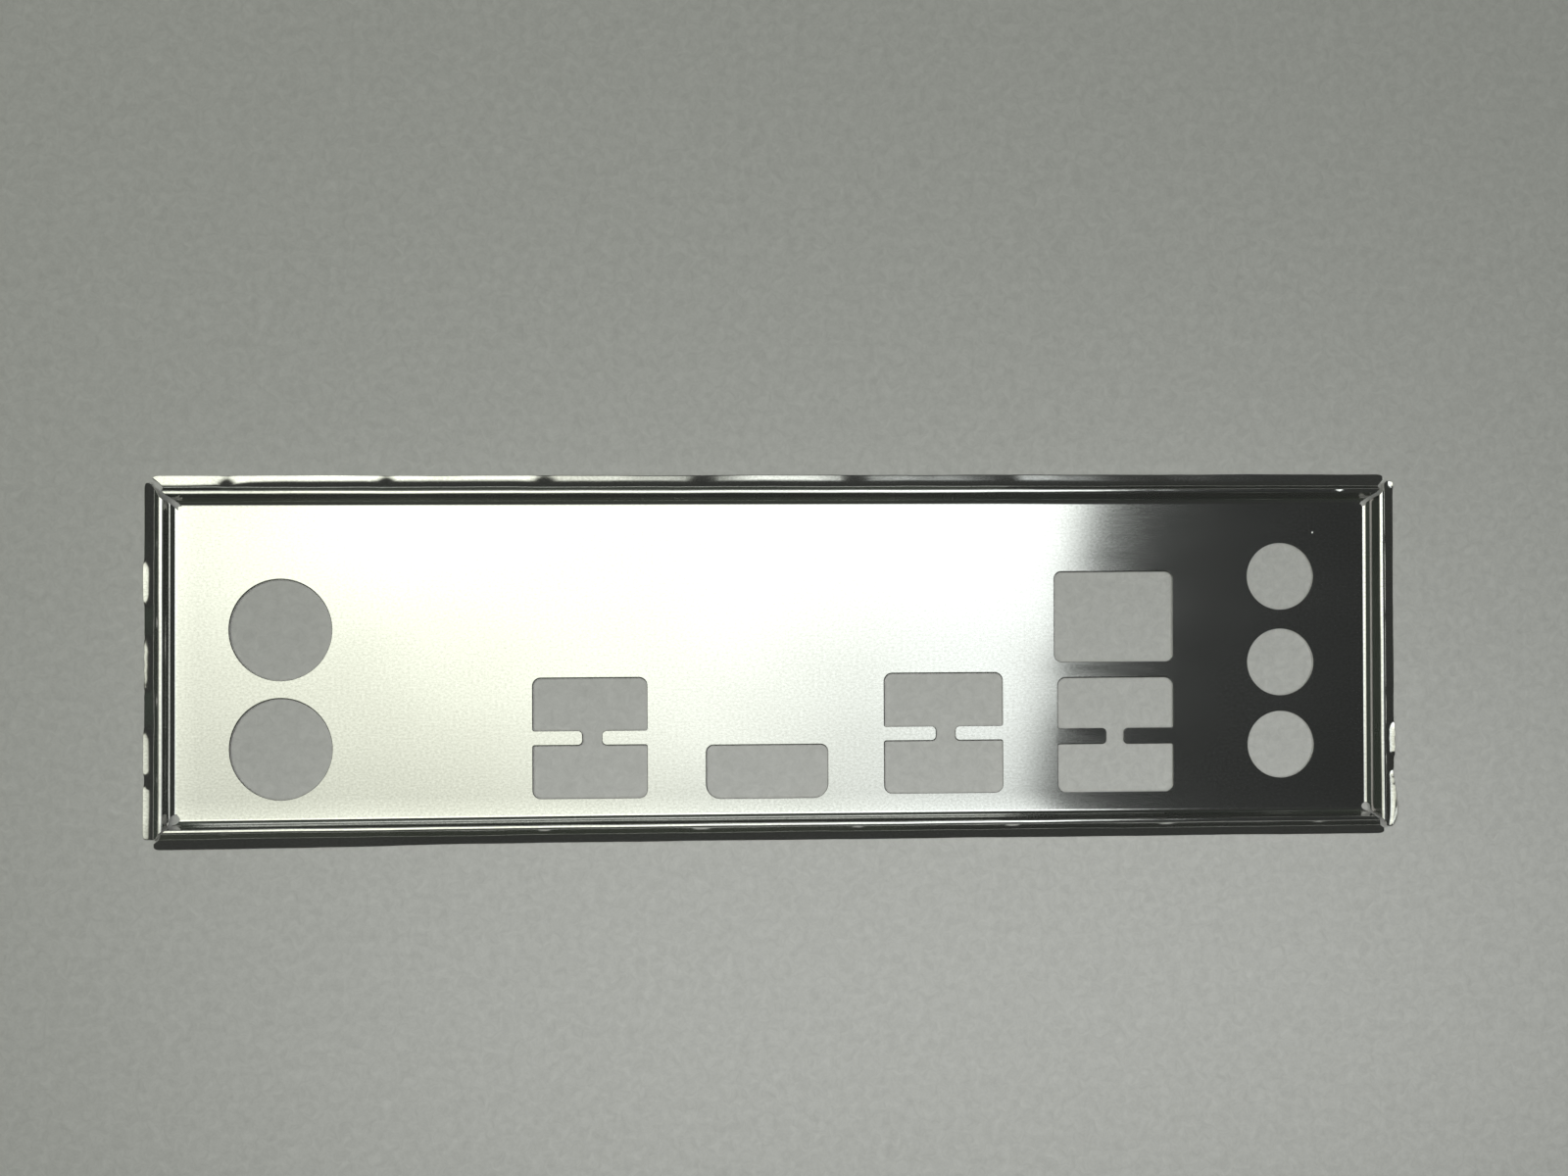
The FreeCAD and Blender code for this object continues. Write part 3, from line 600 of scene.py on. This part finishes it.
# ---------------------------------------------------------------- materials
def material(name):
    m = bpy.data.materials.new(name)
    m.use_nodes = True
    nt = m.node_tree
    nt.nodes.clear()
    out = nt.nodes.new("ShaderNodeOutputMaterial")
    bsdf = nt.nodes.new("ShaderNodeBsdfPrincipled")
    nt.links.new(bsdf.outputs[0], out.inputs[0])
    return m, nt, bsdf


def node(nt, kind, **kw):
    n = nt.nodes.new(kind)
    for k, v in kw.items():
        setattr(n, k, v)
    return n


def noise(nt, vec, scale, detail, rough):
    mp = node(nt, "ShaderNodeMapping")
    mp.inputs["Scale"].default_value = scale
    nt.links.new(vec, mp.inputs["Vector"])
    n = node(nt, "ShaderNodeTexNoise")
    n.inputs["Scale"].default_value = 1.0
    n.inputs["Detail"].default_value = detail
    n.inputs["Roughness"].default_value = rough
    nt.links.new(mp.outputs[0], n.inputs["Vector"])
    return n.outputs["Fac"]


def remap(nt, value, lo, hi, to_lo, to_hi):
    n = node(nt, "ShaderNodeMapRange")
    n.inputs["From Min"].default_value = lo
    n.inputs["From Max"].default_value = hi
    n.inputs["To Min"].default_value = to_lo
    n.inputs["To Max"].default_value = to_hi
    nt.links.new(value, n.inputs["Value"])
    return n.outputs[0]


def math_node(nt, op, a, b):
    n = node(nt, "ShaderNodeMath", operation=op)
    nt.links.new(a, n.inputs[0])
    if isinstance(b, float):
        n.inputs[1].default_value = b
    else:
        nt.links.new(b, n.inputs[1])
    return n.outputs[0]


sheet_mat, nt, bsdf = material("plated_sheet")
uv = node(nt, "ShaderNodeUVMap", uv_map="flat").outputs[0]   # unfolded sheet, 200 mm to 1
grain = noise(nt, uv, (45.0, 2100.0, 1.0), 3.0, 0.6)         # rolling lines along the length
fine = noise(nt, uv, (420.0, 3200.0, 1.0), 2.0, 0.5)
smudge = noise(nt, uv, (14.0, 22.0, 1.0), 4.0, 0.55)
cloud = noise(nt, uv, (5.0, 7.0, 1.0), 2.0, 0.5)
rough = remap(nt, smudge, 0.35, 0.7, 0.095, 0.120)
rough = math_node(nt, "ADD", rough, remap(nt, grain, 0.3, 0.7, -0.015, 0.015))
nt.links.new(rough, bsdf.inputs["Roughness"])
ramp = node(nt, "ShaderNodeValToRGB")
ramp.color_ramp.elements[0].position = 0.35
ramp.color_ramp.elements[0].color = (0.60, 0.60, 0.58, 1)
ramp.color_ramp.elements[1].position = 0.68
ramp.color_ramp.elements[1].color = (0.83, 0.83, 0.82, 1)
speck = noise(nt, uv, (520.0, 760.0, 1.0), 2.0, 0.6)
mottle = math_node(nt, "ADD", math_node(nt, "MULTIPLY", cloud, 0.40), math_node(nt, "MULTIPLY", speck, 0.60))
nt.links.new(mottle, ramp.inputs[0])
nt.links.new(ramp.outputs[0], bsdf.inputs["Base Color"])
bsdf.inputs["Metallic"].default_value = 1.0
height = math_node(nt, "ADD", grain, fine)
bump = node(nt, "ShaderNodeBump")
bump.inputs["Strength"].default_value = 0.14
bump.inputs["Distance"].default_value = 0.000002
nt.links.new(height, bump.inputs["Height"])
nt.links.new(bump.outputs[0], bsdf.inputs["Normal"])

cut_mat, nt, bsdf = material("sheared_edge")
co = node(nt, "ShaderNodeTexCoord").outputs["Object"]
lines = noise(nt, co, (9000.0, 9000.0, 900.0), 2.0, 0.6)
nt.links.new(remap(nt, lines, 0.3, 0.7, 0.30, 0.48), bsdf.inputs["Roughness"])
ramp = node(nt, "ShaderNodeValToRGB")
ramp.color_ramp.elements[0].color = (0.60, 0.59, 0.57, 1)
ramp.color_ramp.elements[1].color = (0.80, 0.79, 0.77, 1)
nt.links.new(lines, ramp.inputs[0])
nt.links.new(ramp.outputs[0], bsdf.inputs["Base Color"])
bsdf.inputs["Metallic"].default_value = 1.0
bump = node(nt, "ShaderNodeBump")
bump.inputs["Strength"].default_value = 0.5
bump.inputs["Distance"].default_value = 0.00001
nt.links.new(lines, bump.inputs["Height"])
nt.links.new(bump.outputs[0], bsdf.inputs["Normal"])

mesh.materials.append(sheet_mat)
mesh.materials.append(cut_mat)
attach(shield, "root")
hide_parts("io_shield")

# ---------------------------------------------------------------- floor, lights, camera
floor_mat, nt, bsdf = material("pale_floor")
co = node(nt, "ShaderNodeTexCoord").outputs["Object"]
tone = noise(nt, co, (800.0, 800.0, 800.0), 6.0, 0.75)
tone.node.inputs["Distortion"].default_value = 0.7
ramp = node(nt, "ShaderNodeValToRGB")
ramp.color_ramp.elements[0].position = 0.28
ramp.color_ramp.elements[0].color = (0.675, 0.677, 0.66, 1)
ramp.color_ramp.elements[1].position = 0.72
ramp.color_ramp.elements[1].color = (0.85, 0.852, 0.835, 1)
nt.links.new(tone, ramp.inputs[0])
nt.links.new(ramp.outputs[0], bsdf.inputs["Base Color"])
bsdf.inputs["Roughness"].default_value = 0.9
bsdf.inputs["Specular IOR Level"].default_value = 0.2


def plate(name, pts, mat):
    me = bpy.data.meshes.new(name)
    me.from_pydata(pts, [], [list(range(len(pts)))])
    me.materials.append(mat)
    o = bpy.data.objects.new(name, me)
    bpy.context.scene.collection.objects.link(o)
    return o


plate("floor", [(-1.5, -1.5, 0), (1.5, -1.5, 0), (1.5, 1.5, 0), (-1.5, 1.5, 0)], floor_mat)


# overhead soft box to the left, brightest at its back and right, with a slanted right edge
H = 0.6
m = bpy.data.materials.new("soft_key")
m.use_nodes = True
nt = m.node_tree
nt.nodes.clear()
out = nt.nodes.new("ShaderNodeOutputMaterial")
emit = nt.nodes.new("ShaderNodeEmission")
nt.links.new(emit.outputs[0], out.inputs[0])
xyz = node(nt, "ShaderNodeSeparateXYZ")
nt.links.new(node(nt, "ShaderNodeNewGeometry").outputs["Position"], xyz.inputs[0])
px, py = xyz.outputs[0], xyz.outputs[1]


def fade(value, lo, hi, to_lo, to_hi):
    n = node(nt, "ShaderNodeMapRange", interpolation_type="SMOOTHSTEP")
    for k, v in (("From Min", lo), ("From Max", hi), ("To Min", to_lo), ("To Max", to_hi)):
        n.inputs[k].default_value = v
    nt.links.new(value, n.inputs["Value"])
    return n.outputs[0]


slant = math_node(nt, "SUBTRACT", px, math_node(nt, "MULTIPLY", py, 0.20))
power = fade(slant, 0.162, 0.188, 1.85, 0.0)
power = math_node(nt, "MULTIPLY", power, remap(nt, py, -0.10, 0.05, 0.53, 1.0))
power = math_node(nt, "MULTIPLY", power, fade(py, -0.165, -0.115, 0.0, 1.0))
power = math_node(nt, "MULTIPLY", power, fade(py, 0.18, 0.29, 1.0, 0.0))
power = math_node(nt, "MULTIPLY", power, remap(nt, px, -0.42, -0.17, 0.57, 1.0))
power = math_node(nt, "MULTIPLY", power, fade(px, -0.45, -0.37, 0.0, 1.0))
power = math_node(nt, "ADD", power, remap(nt, slant, 0.16, 0.34, 0.052, 0.034))
nt.links.new(power, emit.inputs["Strength"])
tint = node(nt, "ShaderNodeValToRGB")
tint.color_ramp.elements[0].color = (0.97, 1.0, 0.86, 1)
tint.color_ramp.elements[1].color = (0.95, 1.0, 0.97, 1)
nt.links.new(remap(nt, px, -0.12, 0.12, 0.0, 1.0), tint.inputs[0])
nt.links.new(tint.outputs[0], emit.inputs["Color"])
key = plate("soft_key", [(-0.46, -0.17, H), (0.34, -0.17, H), (0.34, 0.30, H), (-0.46, 0.30, H)], m)
key.visible_camera = False
key.visible_shadow = False



def glow(name, pts, colour, strength):
    m = bpy.data.materials.new(name)
    m.use_nodes = True
    nt = m.node_tree
    nt.nodes.clear()
    out = nt.nodes.new("ShaderNodeOutputMaterial")
    e = nt.nodes.new("ShaderNodeEmission")
    e.inputs[0].default_value = (*colour, 1)
    e.inputs[1].default_value = strength
    nt.links.new(e.outputs[0], out.inputs[0])
    o = plate(name, pts, m)
    o.visible_camera = False
    o.visible_diffuse = False
    o.visible_shadow = False


# low strips of light near the horizon
glow("low_right", [(0.9, -0.5, 0.0), (0.9, 0.5, 0.0), (0.9, 0.5, 0.14), (0.9, -0.5, 0.14)], (0.97, 1, 0.95), 1.05)
glow("low_back", [(-0.8, 0.9, 0.0), (0.20, 0.9, 0.0), (0.20, 0.9, 0.20), (-0.8, 0.9, 0.20)], (0.97, 1, 0.95), 1.15)
glow("mid_back", [(-0.8, 0.9, 0.2), (0.20, 0.9, 0.2), (0.20, 0.9, 0.80), (-0.8, 0.9, 0.80)], (0.88, 1, 0.85), 0.10)
glow("mid_front", [(-0.8, -0.9, 0.0), (0.15, -0.9, 0.0), (0.15, -0.9, 0.80), (-0.8, -0.9, 0.80)], (0.90, 1, 0.82), 0.07)
glow("mid_left", [(-0.9, -0.6, 0.14), (-0.9, 0.6, 0.14), (-0.9, 0.6, 0.80), (-0.9, -0.6, 0.80)], (0.85, 1, 0.83), 0.065)
glow("low_left", [(-0.9, -0.5, 0.0), (-0.9, 0.5, 0.0), (-0.9, 0.5, 0.14), (-0.9, -0.5, 0.14)], (1, 0.97, 0.9), 0.40)

# broad fill for the floor: one from above and behind, a weaker one in front that casts no shadow
for name, place, size, energy, casts in (("fill_back", (-0.05, 0.16, 0.55), (0.25, 0.15), 0.12, True),
                                         ("fill_front", (0.03, -0.045, 0.09), (0.20, 0.03), 0.035, False)):
    data = bpy.data.lights.new(name, "AREA")
    data.shape = "RECTANGLE"
    data.size, data.size_y = size
    data.energy = energy
    data.use_shadow = casts
    lamp = bpy.data.objects.new(name, data)
    bpy.context.scene.collection.objects.link(lamp)
    lamp.location = place
    lamp.visible_glossy = False
    lamp.visible_camera = False

world = bpy.data.worlds.new("studio")
bpy.context.scene.world = world
world.use_nodes = True
nt = world.node_tree
bg = nt.nodes["Background"]
up = node(nt, "ShaderNodeSeparateXYZ")
nt.links.new(node(nt, "ShaderNodeTexCoord").outputs["Generated"], up.inputs[0])
sky = node(nt, "ShaderNodeValToRGB")
sky.color_ramp.elements[0].position = 0.2
sky.color_ramp.elements[0].color = (0.90, 1.0, 0.89, 1)
sky.color_ramp.elements[1].position = 0.85
sky.color_ramp.elements[1].color = (0.96, 1.0, 0.93, 1)
nt.links.new(up.outputs[2], sky.inputs[0])
nt.links.new(sky.outputs[0], bg.inputs[0])
bg.inputs[1].default_value = 0.046

cam_data = bpy.data.cameras.new("camera")
cam = bpy.data.objects.new("camera", cam_data)
bpy.context.scene.collection.objects.link(cam)
cam_data.sensor_width = 36.0
cam_data.lens = 36.0
cam_data.clip_start = 0.005
turn = Vector([math.radians(v) for v in (-0.15608189, 2.52036915, 0.25892696)])
rot = Matrix.Rotation(turn.length, 3, turn.normalized())
cam.matrix_world = Matrix.Translation((-0.00817, 0.008446, 0.20343)) @ rot.transposed().to_4x4()
bpy.context.scene.camera = cam
bpy.context.scene.view_settings.view_transform = "Standard"

bpy.context.view_layer.update()
